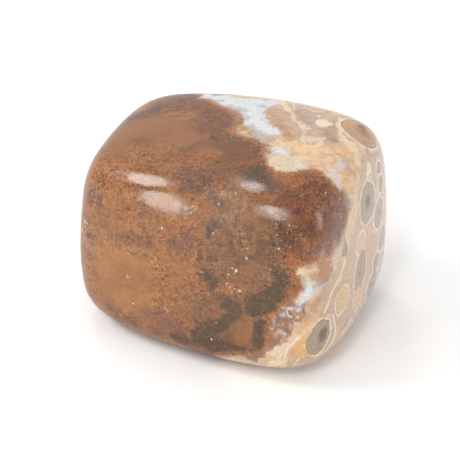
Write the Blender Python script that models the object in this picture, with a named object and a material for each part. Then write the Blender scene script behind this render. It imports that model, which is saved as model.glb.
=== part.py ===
"""Ocean jasper tumbled stone, one polished pebble of about 28 x 23 x 20 mm.

A sawn block of jasper that a tumbler wore round: six broad faces, with worn corners and wide soft
ridges between them, a few shallow swells and hollows, and a small flat under it on which it lies.
Metres, +Z up. The origin is under the middle of the stone's box, on the surface that it lies on.
Azimuth 0 looks at the broad brown front, on -Y, and azimuth 90 at the right end, on +X.
"""

import math

import bmesh
import bpy
from mathutils import Vector

MM = 0.001
NAME = "ocean_jasper_stone"

# Worn faces of the block: azimuth and elevation of the outward direction, then the distance in mm
WORN_FACES = {
    "bottom": (0, -90, 9.7),
    "top": (-90, 86, 10.8),
    "front": (-9, 3, 10.3),
    "back": (178, -4, 11.7),
    "right_end": (84, 3, 13.8),
    "left_end": (-92, 3, 14.2),
    "front_top_ridge": (-12, 46, 13.7),
    "front_right_ridge": (38, 2, 16.4),
    "front_low_ridge": (-9, -44, 15.2),
    "left_front_ridge": (-50, 2, 17.0),
    "right_top_ridge": (84, 46, 18.0),
    "back_top_ridge": (178, 45, 16.2),
    "high_left_corner": (-60, 50, 21.5),
    "low_left_corner": (-80, -48, 17.8),
    "low_right_corner": (42, -48, 21.0),
    "back_left_corner": (-140, 10, 19.5),
}

# Each worn face is a wide dome of this radius, so no face is quite flat
DOME_RADIUS = 90.0

# How sharply two faces meet: 2 would give a ball, and a very high value a block with sharp edges
SHARPNESS = 11.0

# Shallow swells and hollows: azimuth, elevation and spread in degrees, then the height in mm
SWELLS = {
    "left_brow": (-34, 42, 15, 0.16),
    "right_brow": (33, 40, 13, 0.14),
    "hollow_between_brows": (0, 50, 14, -0.12),
    "right_ridge": (50, 8, 16, 0.14),
    "front_hollow": (12, -14, 20, -0.14),
    "top_hollow": (-120, 72, 22, -0.14),
    "right_end_hollow": (95, -4, 18, -0.12),
    "back_swell": (165, 18, 26, 0.18),
    "back_hollow": (205, -18, 24, -0.24),
    "left_end_hollow": (-100, -6, 20, -0.18),
}

# The lowest part is ground off to this depth, which leaves the flat that the stone lies on
FLAT_DEPTH = 0.15 * MM
SHORTEST_EDGE = 0.05 * MM

# An icosphere of five levels has 5120 faces, each about 0.9 mm across on this stone
SPHERE_LEVELS = 5

BODY_COLOUR = (0.27, 0.125, 0.05, 1.0)
BODY_ROUGHNESS = 0.22


def clear_scene():
    for old in list(bpy.data.objects):
        bpy.data.objects.remove(old)


def direction(azimuth, elevation):
    """Unit vector for an azimuth from -Y towards +X, and an elevation above the horizon."""
    a = math.radians(azimuth)
    e = math.radians(elevation)
    return Vector((math.sin(a) * math.cos(e), -math.cos(a) * math.cos(e), math.sin(e)))


def dome_reach(way, azimuth, elevation, distance):
    """Distance in mm from the heart of the stone to one domed face, along a unit vector."""
    depth = DOME_RADIUS - distance
    along = depth * way.dot(direction(azimuth, elevation))
    return math.sqrt(along**2 + DOME_RADIUS**2 - depth**2) - along


def block_reach(way):
    """Distance in mm from the heart of the stone to its worn surface, along a unit vector."""
    total = sum(dome_reach(way, *face) ** -SHARPNESS for face in WORN_FACES.values())
    return total ** (-1.0 / SHARPNESS)


def swell_height(way):
    """Height in mm of the swells and hollows along a unit vector."""
    height = 0.0
    for azimuth, elevation, spread, peak in SWELLS.values():
        away = math.degrees(way.angle(direction(azimuth, elevation)))
        height += peak * math.exp(-((away / spread) ** 2))
    return height


def grind_flat(bm):
    """Cuts the lowest part off level and closes the cut with one flat face."""
    level = min(v.co.z for v in bm.verts) + FLAT_DEPTH
    whole = bm.verts[:] + bm.edges[:] + bm.faces[:]
    bmesh.ops.bisect_plane(
        bm, geom=whole, plane_co=(0, 0, level), plane_no=(0, 0, -1), clear_outer=True
    )
    bmesh.ops.remove_doubles(bm, verts=bm.verts[:], dist=SHORTEST_EDGE)
    rim = [edge for edge in bm.edges if edge.is_boundary]
    bmesh.ops.edgeloop_fill(bm, edges=rim)


def stand_on_origin(bm):
    """Moves the stone so that the origin lies under the middle of its box."""
    lows = [min(v.co[i] for v in bm.verts) for i in range(3)]
    highs = [max(v.co[i] for v in bm.verts) for i in range(3)]
    shift = (-(lows[0] + highs[0]) / 2, -(lows[1] + highs[1]) / 2, -lows[2])
    bmesh.ops.translate(bm, verts=bm.verts[:], vec=shift)


def stone_mesh():
    bm = bmesh.new()
    bmesh.ops.create_icosphere(bm, subdivisions=SPHERE_LEVELS, radius=1.0)
    for vert in bm.verts:
        way = vert.co.normalized()
        vert.co = way * (block_reach(way) + swell_height(way)) * MM
    grind_flat(bm)
    stand_on_origin(bm)
    bmesh.ops.recalc_face_normals(bm, faces=bm.faces[:])
    mesh = bpy.data.meshes.new("stone")
    bm.to_mesh(mesh)
    bm.free()
    mesh.shade_smooth()
    mesh.set_sharp_from_angle(angle=math.radians(30))
    return mesh


def stone_material():
    material = bpy.data.materials.new("polished_jasper")
    material.use_nodes = True
    shader = material.node_tree.nodes["Principled BSDF"]
    shader.inputs["Base Color"].default_value = BODY_COLOUR
    shader.inputs["Roughness"].default_value = BODY_ROUGHNESS
    shader.inputs["Metallic"].default_value = 0.0
    return material


def build_stone():
    stone = bpy.data.objects.new("stone", stone_mesh())
    stone.data.materials.append(stone_material())
    return stone


def main():
    clear_scene()
    collection = bpy.data.collections.new(NAME)
    bpy.context.scene.collection.children.link(collection)
    collection.objects.link(build_stone())


main()
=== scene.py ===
"""The looks of an ocean jasper tumbled stone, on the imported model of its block.

The stone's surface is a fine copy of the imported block, polished smooth, with small pits. Its colours are
one solid pattern in the stone's own coordinates: a brown speckled body, a ragged border with chalcedony,
and a pale end of flow bands and orbs. What the photograph shows is placed by its pixel there, and a ray
from the camera carries it to the stone. What it doesn't show is placed by azimuth and elevation.
"""

import logging
import math
import random
from dataclasses import dataclass, field
from enum import Enum
from functools import cache
from typing import Iterable

import bmesh
import bpy
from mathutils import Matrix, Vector, kdtree, noise
from mathutils.bvhtree import BVHTree


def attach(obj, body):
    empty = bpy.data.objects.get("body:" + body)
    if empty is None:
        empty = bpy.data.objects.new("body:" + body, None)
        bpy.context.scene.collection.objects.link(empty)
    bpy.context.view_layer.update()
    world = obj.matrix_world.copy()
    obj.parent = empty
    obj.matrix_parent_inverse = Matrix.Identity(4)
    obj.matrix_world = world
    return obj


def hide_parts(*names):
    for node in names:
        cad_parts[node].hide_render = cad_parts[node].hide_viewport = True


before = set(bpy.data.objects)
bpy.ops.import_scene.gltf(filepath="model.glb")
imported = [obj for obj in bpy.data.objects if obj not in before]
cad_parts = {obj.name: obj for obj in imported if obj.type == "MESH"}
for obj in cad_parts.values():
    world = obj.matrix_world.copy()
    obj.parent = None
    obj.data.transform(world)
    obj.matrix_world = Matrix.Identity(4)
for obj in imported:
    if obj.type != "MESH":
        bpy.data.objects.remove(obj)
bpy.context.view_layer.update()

log = logging.getLogger("jasper")

Colour = tuple[float, float, float]
Pixel = tuple[float, float]
Spot = tuple[float, float, float]
Ball = tuple[Vector, float]
Socket = bpy.types.NodeSocket

MM = 0.001
SEED = 11

# A distance in mm past anything on the stone
FAR = 1000.0

# The point inside the stone from which its worn faces are measured, in mm
HEART = Vector((0.0, -0.45, 9.55))

# A distance in mm from the stone's heart that is outside the stone
OUTSIDE = 60.0

# A stroke on the stone isn't cut into shorter chords than this, in mm
SHORTEST_CHORD = 0.6

# What the white studio adds by reflection in the polish, and how much of its light the stone gets
GLARE = 0.055
DAYLIGHT = 1.2

# The least that a colour of the stone gives back
DARKEST = 0.012

# Noise keeps near its middle and strays about a quarter either way, so the gain makes its swing about 1
NOISE_MIDDLE = 0.5
NOISE_GAIN = 4

# How much lighter and deeper the rings inside an orb are than its tint
ORB_LIGHT = 1.22
ORB_DEEP = 0.72

# A hidden orb larger than this in mm has an eye, which is this share of its size
LARGE_ORB = 0.9
EYE_SHARE = 0.3

# How strong the brown body's grain is everywhere, and what is added in its patches and grainy spots
EVEN_GRAIN = 0.65
PATCH_GRAIN = 0.6
SPOT_GRAIN = 0.8

# The share of the grain that is taken away in the calm spots, and how strongly curls shade the rest
CALMING = 0.7
CURL_SHADE = 1.9


def direction(azimuth: float, elevation: float) -> Vector:
    """Gives a unit vector.

    Args:
        azimuth: degrees from -Y towards +X.
        elevation: degrees above the horizon.

    Returns:
        The vector that points that way from the stone.
    """
    a = math.radians(azimuth)
    e = math.radians(elevation)
    return Vector((math.sin(a) * math.cos(e), -math.cos(a) * math.cos(e), math.sin(e)))


class Tint(Enum):
    """Colours of the stone as the photograph shows them, in linear light, with the polish's reflection."""

    OCHRE = (0.38, 0.18, 0.088)
    YELLOW_OCHRE = (0.44, 0.225, 0.10)
    TAN = (0.365, 0.168, 0.085)
    RIDGE_ORANGE = (0.355, 0.152, 0.055)
    BROWN = (0.29, 0.155, 0.09)
    UMBER = (0.20, 0.115, 0.072)
    COCOA = (0.25, 0.12, 0.07)
    RUST = (0.255, 0.11, 0.05)
    RIM_ORANGE = (0.42, 0.18, 0.08)
    DARK_RUST = (0.15, 0.075, 0.05)
    OLIVE = (0.135, 0.098, 0.062)
    DARK_OLIVE = (0.125, 0.09, 0.062)
    PLUM = (0.24, 0.13, 0.105)
    MAUVE = (0.33, 0.18, 0.14)
    PINK_MAUVE = (0.48, 0.32, 0.26)
    MAUVE_BROWN = (0.29, 0.165, 0.12)
    CHARCOAL = (0.11, 0.085, 0.08)
    GREEN = (0.05, 0.09, 0.045)
    SPECK = (0.62, 0.44, 0.30)
    # The white of druzy crystals in pits, and of painted glints where the polish catches the light
    SPARKLE = (0.86, 0.80, 0.72)
    CHALCEDONY = (0.735, 0.77, 0.79)
    FROST = (0.53, 0.49, 0.465)
    GREY_VEIN = (0.64, 0.57, 0.53)
    GREY_HALO = (0.49, 0.41, 0.36)
    LAVENDER = (0.74, 0.64, 0.60)
    DRUZY_CREAM = (0.72, 0.60, 0.44)
    YELLOW_DRUZY = (0.41, 0.285, 0.17)
    CREAM = (0.88, 0.67, 0.45)
    PEACH = (0.72, 0.50, 0.32)
    PINK_CREAM = (0.78, 0.60, 0.46)
    ORANGE_CREAM = (0.86, 0.58, 0.34)
    ORANGE = (0.80, 0.46, 0.20)
    TAN_FLOW = (0.60, 0.41, 0.27)
    FLOW_BROWN = (0.50, 0.27, 0.16)
    PINK_TAN = (0.64, 0.46, 0.34)
    TAN_ORANGE = (0.58, 0.34, 0.20)
    ORB_TAN = (0.52, 0.335, 0.20)
    RED_EYE = (0.36, 0.14, 0.075)
    DARK_EYE = (0.22, 0.15, 0.105)
    MATRIX = (0.57, 0.42, 0.315)
    GREY_MATRIX = (0.47, 0.36, 0.275)
    TAUPE = (0.40, 0.315, 0.235)
    HONEY = (0.68, 0.46, 0.28)
    RING = (0.90, 0.75, 0.58)
    WHITE = (0.86, 0.73, 0.57)

    @property
    def bare(self) -> Colour:
        """Returns the stone's own colour, without the reflection and at full light."""
        return tuple(max(DARKEST, (value - GLARE) / DAYLIGHT) for value in self.value)


Paint = Tint | Colour

# Bands of colour along a number: where each has its full colour, in order, and its tint or colour
Bands = tuple[tuple[float, Paint], ...]


def own_colour(paint: Paint) -> Colour:
    """Returns a tint's bare colour, or a plain colour as it is."""
    return paint.bare if isinstance(paint, Tint) else paint


class Cloud(Enum):
    """Kinds of noise: lumps in a mm, finer layers, how strong those are, and how far it curls."""

    BORDER = (2.0, 5.0, 0.75, 0.0)
    BODY_EDGES = (1.6, 6.0, 0.7, 0.0)
    BODY_ZONES = (0.25, 3.0, 0.55, 0.0)
    BODY_PATCHES = (0.3, 2.0, 0.5, 0.8)
    MOTTLE = (0.8, 6.0, 0.72, 0.4)
    CURLS = (2.2, 3.0, 0.6, 0.9)
    FINE_CURLS = (5.0, 2.0, 0.6, 0.0)
    DARK_GRAIN = (3.6, 2.0, 0.6, 0.5)
    STROKES = (1.5, 2.0, 0.5, 1.4)
    STROKE_PATCHES = (0.6, 2.0, 0.5, 0.0)
    PALE_EDGES = (1.2, 4.0, 0.6, 0.0)
    ORB_BANDS = (0.9, 2.0, 0.5, 0.0)
    BANKS = (0.4, 3.0, 0.5, 0.0)
    BROKEN_RINGS = (0.45, 2.0, 0.5, 1.7)
    FROST = (1.8, 6.0, 0.75, 0.6)
    PALE_GRAIN = (3.0, 2.0, 0.6, 0.0)
    POLISH = (2.5, 4.0, 0.7, 0.0)
    PORES = (6.0, 3.0, 0.6, 0.0)
    PALE_PORES = (3.0, 2.0, 0.5, 0.0)


@dataclass(frozen=True)
class Camera:
    """Where the photograph was taken from, as azimuth, elevation, distance and lens.

    The lengths are in mm. near and far are what the camera can see between.
    """

    azimuth: float = 18.0
    elevation: float = 33.0
    distance: float = 190.0
    lens: float = 150.0
    sensor: float = 36.0
    pixels: float = 460.0
    near: float = 5.0
    far: float = 20000.0

    def back(self) -> Vector:
        """Returns the unit vector from the stone to the camera."""
        return direction(self.azimuth, self.elevation)

    def stand(self) -> Vector:
        """Returns the camera's place in mm."""
        return HEART + self.back() * self.distance

    def ray(self, pixel: Pixel) -> Vector:
        """Gives the way that a pixel of the photograph looks.

        Args:
            pixel: its x and y, from the upper left.

        Returns:
            A unit vector from the camera.
        """
        ahead = -self.back()
        right = ahead.cross(Vector((0, 0, 1))).normalized()
        up = right.cross(ahead)
        reach = self.lens / self.sensor * self.pixels
        middle = self.pixels / 2
        across = (pixel[0] - middle) / reach
        down = (pixel[1] - middle) / reach
        return (ahead + right * across - up * down).normalized()

    def build(self) -> bpy.types.Object:
        """Makes the camera the scene's own.

        Returns:
            The camera object.
        """
        data = bpy.data.cameras.new("photo_camera")
        data.lens = self.lens
        data.sensor_width = self.sensor
        data.clip_start = self.near * MM
        data.clip_end = self.far * MM
        data.dof.use_dof = False
        camera = bpy.data.objects.new("photo_camera", data)
        camera.location = self.stand() * MM
        camera.rotation_mode = "QUATERNION"
        camera.rotation_quaternion = self.back().to_track_quat("Z", "Y")
        bpy.context.scene.collection.objects.link(camera)
        bpy.context.scene.camera = camera
        return camera


@dataclass
class Survey:
    """Finds places on the stone, in mm, from pixels of the photograph or from angles."""

    tree: BVHTree
    camera: Camera

    def seen(self, pixel: Pixel) -> tuple[Vector | None, Vector | None]:
        """Carries a pixel to the stone.

        Args:
            pixel: its x and y in the photograph.

        Returns:
            The place and the outward normal there, or None for both where the pixel shows no stone.
        """
        place, normal, _, _ = self.tree.ray_cast(self.camera.stand(), self.camera.ray(pixel))
        return place, normal

    def around(self, angles: Pixel) -> tuple[Vector, Vector]:
        """Carries an azimuth and an elevation to the stone.

        Args:
            angles: azimuth and elevation in degrees, seen from the stone's heart.

        Returns:
            The place and the outward normal there.
        """
        out = direction(*angles)
        place, normal, _, _ = self.tree.ray_cast(HEART + out * OUTSIDE, -out)
        return place, normal

    def balls(self, spots: Iterable[Spot]) -> list[Ball]:
        """Carries spots to the stone.

        Args:
            spots: each spot's pixel and radius in mm.

        Returns:
            Each spot's place and radius, without those that miss the stone.
        """
        found = [(self.seen((x, y))[0], radius) for x, y, radius in spots]
        return [(place, radius) for place, radius in found if place is not None]

    def follow(self, start: Spot, end: Spot, slack: float = 0.04) -> list[Ball]:
        """Lays a straight stretch of the photograph on the stone, in as few chords as keep close to it.

        Args:
            start: the first pixel and its radius in mm.
            end: the last.
            slack: how far a chord's middle may lie under the surface, in mm.

        Returns:
            The chords' ends after the first, each with its radius.
        """
        middle = tuple((a + b) / 2 for a, b in zip(start, end))
        places = [self.seen(spot[:2])[0] for spot in (start, middle, end)]
        if None in places:
            return [(places[2], end[2])] if places[2] is not None else []
        sunk = (places[1] - (places[0] + places[2]) / 2).length
        short = (places[2] - places[0]).length < SHORTEST_CHORD
        if sunk <= slack or short:
            return [(places[2], end[2])]
        return self.follow(start, middle, slack) + self.follow(middle, end, slack)

    def chain(self, spots: tuple[Spot, ...]) -> list[Ball]:
        """Lays a path of the photograph on the stone.

        Args:
            spots: the path's pixels, each with its radius in mm.

        Returns:
            The places along it, each with its radius.
        """
        found = self.balls(spots[:1])
        for start, end in zip(spots, spots[1:]):
            found += self.follow(start, end)
        return found


class Field:
    """A number that varies through the stone: one output socket, with the arithmetic of shader maths."""

    def __init__(self, recipe: "Recipe", socket: Socket) -> None:
        """Wraps a socket of the recipe's tree."""
        self.recipe = recipe
        self.socket = socket

    def __add__(self, other: "Field | float") -> "Field":
        """Adds."""
        return self.recipe.maths("ADD", self, other)

    __radd__ = __add__

    def __sub__(self, other: "Field | float") -> "Field":
        """Subtracts."""
        return self.recipe.maths("SUBTRACT", self, other)

    def __rsub__(self, other: float) -> "Field":
        """Subtracts this from a number."""
        return self.recipe.maths("SUBTRACT", other, self)

    def __mul__(self, other: "Field | float") -> "Field":
        """Multiplies."""
        return self.recipe.maths("MULTIPLY", self, other)

    def __abs__(self) -> "Field":
        """Returns the size without its sign."""
        return self.recipe.maths("ABSOLUTE", self)

    def least(self, other: "Field | float") -> "Field":
        """Returns the lower of the two, everywhere."""
        return self.recipe.maths("MINIMUM", self, other)

    def most(self, other: "Field | float") -> "Field":
        """Returns the higher of the two, everywhere."""
        return self.recipe.maths("MAXIMUM", self, other)

    def swing(self, by: float) -> "Field":
        """Returns noise with its middle moved to 0, times a number."""
        return (self - NOISE_MIDDLE) * by

    def rise(self, low: float, high: float) -> "Field":
        """Gives a smooth step.

        Args:
            low: where the step is 0; it may be above high, for a step that falls.
            high: where it is 1.

        Returns:
            The step, from 0 to 1.
        """
        return self._mapped("SMOOTHSTEP", low, high)

    def share(self, low: float, high: float) -> "Field":
        """Returns where the number lies between low, which gives 0, and high, which gives 1."""
        return self._mapped("LINEAR", low, high)

    def _mapped(self, kind: str, low: float, high: float) -> "Field":
        """Makes the Map Range node of rise() and share()."""
        node = self.recipe.node(
            "ShaderNodeMapRange",
            {"interpolation_type": kind, "clamp": False},
            {"Value": self, "From Min": low, "From Max": high},
        )
        return Field(self.recipe, node.outputs["Result"])

    def line(self, at: float, half: float) -> "Field":
        """Gives a thin band where the number is near a value.

        Args:
            at: the value in the middle of the band.
            half: how far from it the band fades out.

        Returns:
            The band, 1 in its middle.
        """
        return abs(self - at).rise(half, 0.2 * half)


class Recipe:
    """Makes the nodes of one tree: a material's, or a formula's that is used many times."""

    def __init__(self, tree: bpy.types.NodeTree) -> None:
        """Starts to make nodes in a tree."""
        self.tree = tree

    @property
    def shader(self) -> bpy.types.Node:
        """Returns a material's Principled shader."""
        return self.tree.nodes["Principled BSDF"]

    @classmethod
    def of_material(cls, name: str) -> tuple["Recipe", bpy.types.Material]:
        """Starts a material.

        Args:
            name: the material's name.

        Returns:
            Its recipe, with a bare Principled shader, and the material.
        """
        material = bpy.data.materials.new(name)
        material.use_nodes = True
        return cls(material.node_tree), material

    @classmethod
    def of_formula(
        cls, name: str, vectors: tuple[str, ...], numbers: tuple[str, ...]
    ) -> tuple["Recipe", bpy.types.NodeOutputs]:
        """Starts a formula, which gives one number.

        Args:
            name: the formula's name.
            vectors: the names of the vectors that it is given.
            numbers: the names of the numbers that it is given.

        Returns:
            Its recipe, and the sockets of what it is given, by name.
        """
        tree = bpy.data.node_groups.new(name, "ShaderNodeTree")
        for given, kind in ((vectors, "NodeSocketVector"), (numbers, "NodeSocketFloat")):
            for each in given:
                tree.interface.new_socket(each, in_out="INPUT", socket_type=kind)
        tree.interface.new_socket("Result", in_out="OUTPUT", socket_type="NodeSocketFloat")
        recipe = cls(tree)
        return recipe, recipe.node("NodeGroupInput", {}, {}).outputs

    def give(self, result: "Field") -> bpy.types.NodeTree:
        """Ends a formula with its result, and returns its tree."""
        self.node("NodeGroupOutput", {}, {"Result": result})
        return self.tree

    def use(self, formula: bpy.types.NodeTree, inputs: dict) -> "Field":
        """Uses a formula.

        Args:
            formula: its tree.
            inputs: what it is given, by name.

        Returns:
            Its result.
        """
        made = self.node("ShaderNodeGroup", {"node_tree": formula}, inputs)
        return Field(self, made.outputs["Result"])

    def node(self, kind: str, settings: dict, inputs: dict) -> bpy.types.Node:
        """Makes any node.

        Args:
            kind: the node's type.
            settings: its own settings, set first; stops gives a ramp's stops.
            inputs: a value, a field or a socket for each socket by name or place.

        Returns:
            The node.
        """
        made = self.tree.nodes.new(kind)
        for name, value in settings.items():
            if name == "stops":
                self._set_stops(made.color_ramp, value)
            else:
                setattr(made, name, value)
        for name, value in inputs.items():
            socket = made.inputs[name]
            if isinstance(value, Field):
                self.tree.links.new(value.socket, socket)
            elif isinstance(value, Socket):
                self.tree.links.new(value, socket)
            else:
                socket.default_value = value
        return made

    def _set_stops(self, ramp: bpy.types.ColorRamp, stops: list[tuple[float, Colour]]) -> None:
        """Gives a ramp its stops.

        Args:
            ramp: the ramp of a new node.
            stops: each stop's place from 0 to 1 and its colour.
        """
        while len(ramp.elements) < len(stops):
            ramp.elements.new(1.0)
        for element, (place, colour) in zip(ramp.elements, stops):
            element.position = place
            element.color = (*colour, 1.0)

    def maths(self, operation: str, first: "Field | float", second: "Field | float" = 0.0) -> Field:
        """Makes a Math node.

        Args:
            operation: the node's operation.
            first: its first term.
            second: its second term.

        Returns:
            The result.
        """
        made = self.node("ShaderNodeMath", {"operation": operation}, {0: first, 1: second})
        return Field(self, made.outputs[0])

    def mix(self, share: "Field | float", first: Socket | Paint, second: Socket | Paint) -> Socket:
        """Mixes two colours.

        Args:
            share: how much of the second, from 0 to 1.
            first: a tint, a colour or a colour socket.
            second: the same.

        Returns:
            The mixed colour's socket.
        """
        ends = [end if isinstance(end, Socket) else (*own_colour(end), 1.0) for end in (first, second)]
        made = self.node("ShaderNodeMix", {"data_type": "RGBA"}, {0: share, 6: ends[0], 7: ends[1]})
        return made.outputs[2]

    def shade(self, colour: Socket, share: Field) -> Socket:
        """Multiplies a colour by a number.

        Args:
            colour: the colour's socket.
            share: the number, 1 for no change.

        Returns:
            The new colour's socket.
        """
        made = self.node("ShaderNodeHueSaturation", {}, {"Color": colour, "Value": share})
        return made.outputs[0]

    def bands(self, across: Field, stops: Bands) -> Socket:
        """Turns a number into bands of colour.

        Args:
            across: the number, most often a distance in mm.
            stops: each band's place on it and its tint or colour, in order.

        Returns:
            The colour's socket.
        """
        low = stops[0][0]
        high = stops[-1][0]
        placed = [((at - low) / (high - low), own_colour(paint)) for at, paint in stops]
        made = self.node("ShaderNodeValToRGB", {"stops": placed}, {"Fac": across.share(low, high)})
        return made.outputs["Color"]


class Grain:
    """Places in the stone, in mm, as a vector socket that patterns read."""

    def __init__(self, recipe: Recipe, socket: Socket) -> None:
        """Wraps a vector socket."""
        self.recipe = recipe
        self.socket = socket

    @classmethod
    def of_object(cls, recipe: Recipe) -> "Grain":
        """Returns the object's own coordinates, in mm."""
        where = recipe.node("ShaderNodeTexCoord", {}, {}).outputs["Object"]
        return cls(recipe, where).moved("SCALE", {"Scale": 1 / MM})

    def moved(self, operation: str, inputs: dict) -> "Grain":
        """Returns the places after one step of vector maths."""
        made = self.recipe.node("ShaderNodeVectorMath", {"operation": operation}, {0: self.socket, **inputs})
        return Grain(self.recipe, made.outputs[0])

    def measured(self, operation: str, other: Socket) -> Field:
        """Returns the number that one step of vector maths gives."""
        made = self.recipe.node("ShaderNodeVectorMath", {"operation": operation}, {0: self.socket, 1: other})
        return Field(self.recipe, made.outputs["Value"])

    def _cloud(self, per_mm: float, detail: float, rough: float, swirl: float) -> bpy.types.Node:
        """Makes a noise node, from the same numbers that a kind of noise has."""
        levels = {"Scale": per_mm, "Detail": detail, "Roughness": rough, "Distortion": swirl}
        return self.recipe.node("ShaderNodeTexNoise", {}, {"Vector": self.socket, **levels})

    def noise(self, kind: Cloud) -> Field:
        """Returns cloudy noise of a kind, mostly between 0.3 and 0.7."""
        return Field(self.recipe, self._cloud(*kind.value).outputs[0])

    def grains(self, per_mm: float) -> tuple[Field, Field]:
        """Gives scattered grains.

        Args:
            per_mm: how many grains in a mm.

        Returns:
            The distance to the nearest grain, in grains, and a number from 0 to 1 that each has.
        """
        made = self.recipe.node("ShaderNodeTexVoronoi", {}, {"Vector": self.socket, "Scale": per_mm})
        parts = self.recipe.node("ShaderNodeSeparateColor", {}, {0: made.outputs["Color"]})
        return Field(self.recipe, made.outputs["Distance"]), Field(self.recipe, parts.outputs[0])

    def stirred(self, per_mm: float, by: float, detail: float = 2.0) -> "Grain":
        """Moves the places about, so that what reads them is ragged.

        Args:
            per_mm: how many waves in a mm.
            by: how far a place moves at most, about, in mm.
            detail: how many finer layers the waves have.

        Returns:
            The moved places.
        """
        cloud = self._cloud(per_mm, detail, rough=0.5, swirl=0.0).outputs[1]
        parts = self.recipe.node("ShaderNodeSeparateColor", {}, {0: cloud}).outputs
        push = self.recipe.node("ShaderNodeCombineXYZ", {}, {0: parts[0], 1: parts[1], 2: parts[2]})
        pull = Grain(self.recipe, push.outputs[0])
        pull = pull.moved("SUBTRACT", {1: (NOISE_MIDDLE, NOISE_MIDDLE, NOISE_MIDDLE)})
        return self.moved("ADD", {1: pull.moved("SCALE", {"Scale": NOISE_GAIN * by}).socket})

    def outside(self, balls: list[Ball], found: "Field | float" = FAR) -> Field:
        """Gives the distance to the surface of some balls that run together.

        Args:
            balls: each ball's centre and radius in mm.
            found: a distance that is kept where it is less.

        Returns:
            The distance in mm, below 0 inside a ball.
        """
        for centre, radius in balls:
            given = {"Places": self.socket, "Centre": tuple(centre), "Radius": radius, "So Far": found}
            found = self.recipe.use(ball_formula(), given)
        return found

    def nearest(self, centres: list[Vector], found: "Field | float" = FAR) -> Field:
        """Returns the distance in mm to the nearest of some points, or found where that is less."""
        return self.outside([(centre, 0.0) for centre in centres], found)

    def ribbon(self, chain: list[Ball], found: "Field | float" = FAR) -> Field:
        """Gives the distance to the surface of round rods that are laid end to end.

        Args:
            chain: the rods' ends, each with its radius in mm.
            found: a distance that is kept where it is less.

        Returns:
            The distance in mm, below 0 inside a rod.
        """
        for (start, radius), (end, last) in zip(chain, chain[1:]):
            span = end - start
            rate = span / span.length_squared
            given = {"Places": self.socket, "Start": tuple(start), "Span": tuple(span), "Rate": tuple(rate)}
            sizes = {"Shift": start.dot(rate), "Radius": radius, "Taper": last - radius, "So Far": found}
            found = self.recipe.use(rod_formula(), {**given, **sizes})
        return found


@cache
def ball_formula() -> bpy.types.NodeTree:
    """Returns the formula for the distance to a ball, or the distance so far where that is less."""
    recipe, given = Recipe.of_formula("ball", ("Places", "Centre"), ("Radius", "So Far"))
    away = Grain(recipe, given["Places"]).measured("DISTANCE", given["Centre"])
    away = away - Field(recipe, given["Radius"])
    return recipe.give(away.least(Field(recipe, given["So Far"])))


@cache
def rod_formula() -> bpy.types.NodeTree:
    """Returns the formula for the distance to a tapered rod, or the distance so far where that is less."""
    sizes = ("Shift", "Radius", "Taper", "So Far")
    recipe, given = Recipe.of_formula("rod", ("Places", "Start", "Span", "Rate"), sizes)
    numbers = {name: Field(recipe, given[name]) for name in sizes}
    along = Grain(recipe, given["Places"]).measured("DOT_PRODUCT", given["Rate"]) - numbers["Shift"]
    share = along.most(0.0).least(1.0)
    foot = Grain(recipe, given["Span"]).moved("SCALE", {"Scale": share}).moved("ADD", {1: given["Start"]})
    away = Grain(recipe, given["Places"]).measured("DISTANCE", foot.socket)
    away = away - numbers["Radius"] - share * numbers["Taper"]
    return recipe.give(away.least(numbers["So Far"]))


@dataclass(frozen=True)
class Stain:
    """One colour in the stone, as round spots and tapered strokes that run together.

    Each spot, alone or along a stroke, is a pixel of the photograph and a radius in mm. fade is how far its
    edge fades, and ragged how far noise moves that edge, both in mm. strength is the share of its colour.
    """

    tint: Tint
    fade: float
    ragged: float
    strength: float
    spots: tuple[Spot, ...] = ()
    strokes: tuple[tuple[Spot, ...], ...] = ()


# Where the brown body ends and the pale end begins, from the top of the photograph down
BORDER: tuple[Pixel, ...] = (
    (204, 95), (213, 100), (222, 105), (231, 109), (240, 113), (243, 118), (242, 123), (236, 127),
    (236, 132), (244, 136), (254, 138), (263, 142), (269, 149), (268, 160), (272, 168), (281, 171),
    (291, 171), (304, 169), (318, 170), (328, 178), (336, 186), (346, 192), (350, 203), (348, 218),
    (344, 234), (333, 252), (318, 261), (304, 266), (298, 270), (301, 278), (303, 286), (297, 295),
    (290, 303), (281, 309), (275, 318), (272, 329), (270, 342), (259, 352), (242, 356), (226, 357),
)

# The rest of the border, under the stone and up its back, by azimuth and elevation
HIDDEN_BORDER: tuple[Pixel, ...] = (
    (13, -40), (22, -50), (48, -58), (78, -68), (118, -64), (148, -58), (165, -47), (184, -38), (178, -26),
    (192, -16), (183, -4), (176, 8), (189, 18), (197, 29), (192, 38), (205, 45),
)

# Balls inside the stone that are all brown and all pale, far from the border: a centre and a radius in mm
BROWN_CORE: Ball = (Vector((-8.0, -1.0, 9.5)), 7.5)
PALE_CORE: Ball = (Vector((10.0, 4.0, 9.0)), 5.5)

# The smooth line that the pale end's bands follow, from the top of the photograph down
FLOW: tuple[Pixel, ...] = (
    (287, 104), (293, 114), (301, 122), (311, 130), (326, 133), (340, 139), (352, 145), (357, 155),
    (358, 170), (357, 190), (353, 210), (348, 230), (345, 250), (342, 270), (334, 290), (326, 306),
    (312, 324), (298, 337), (287, 347), (282, 360),
)

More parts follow.
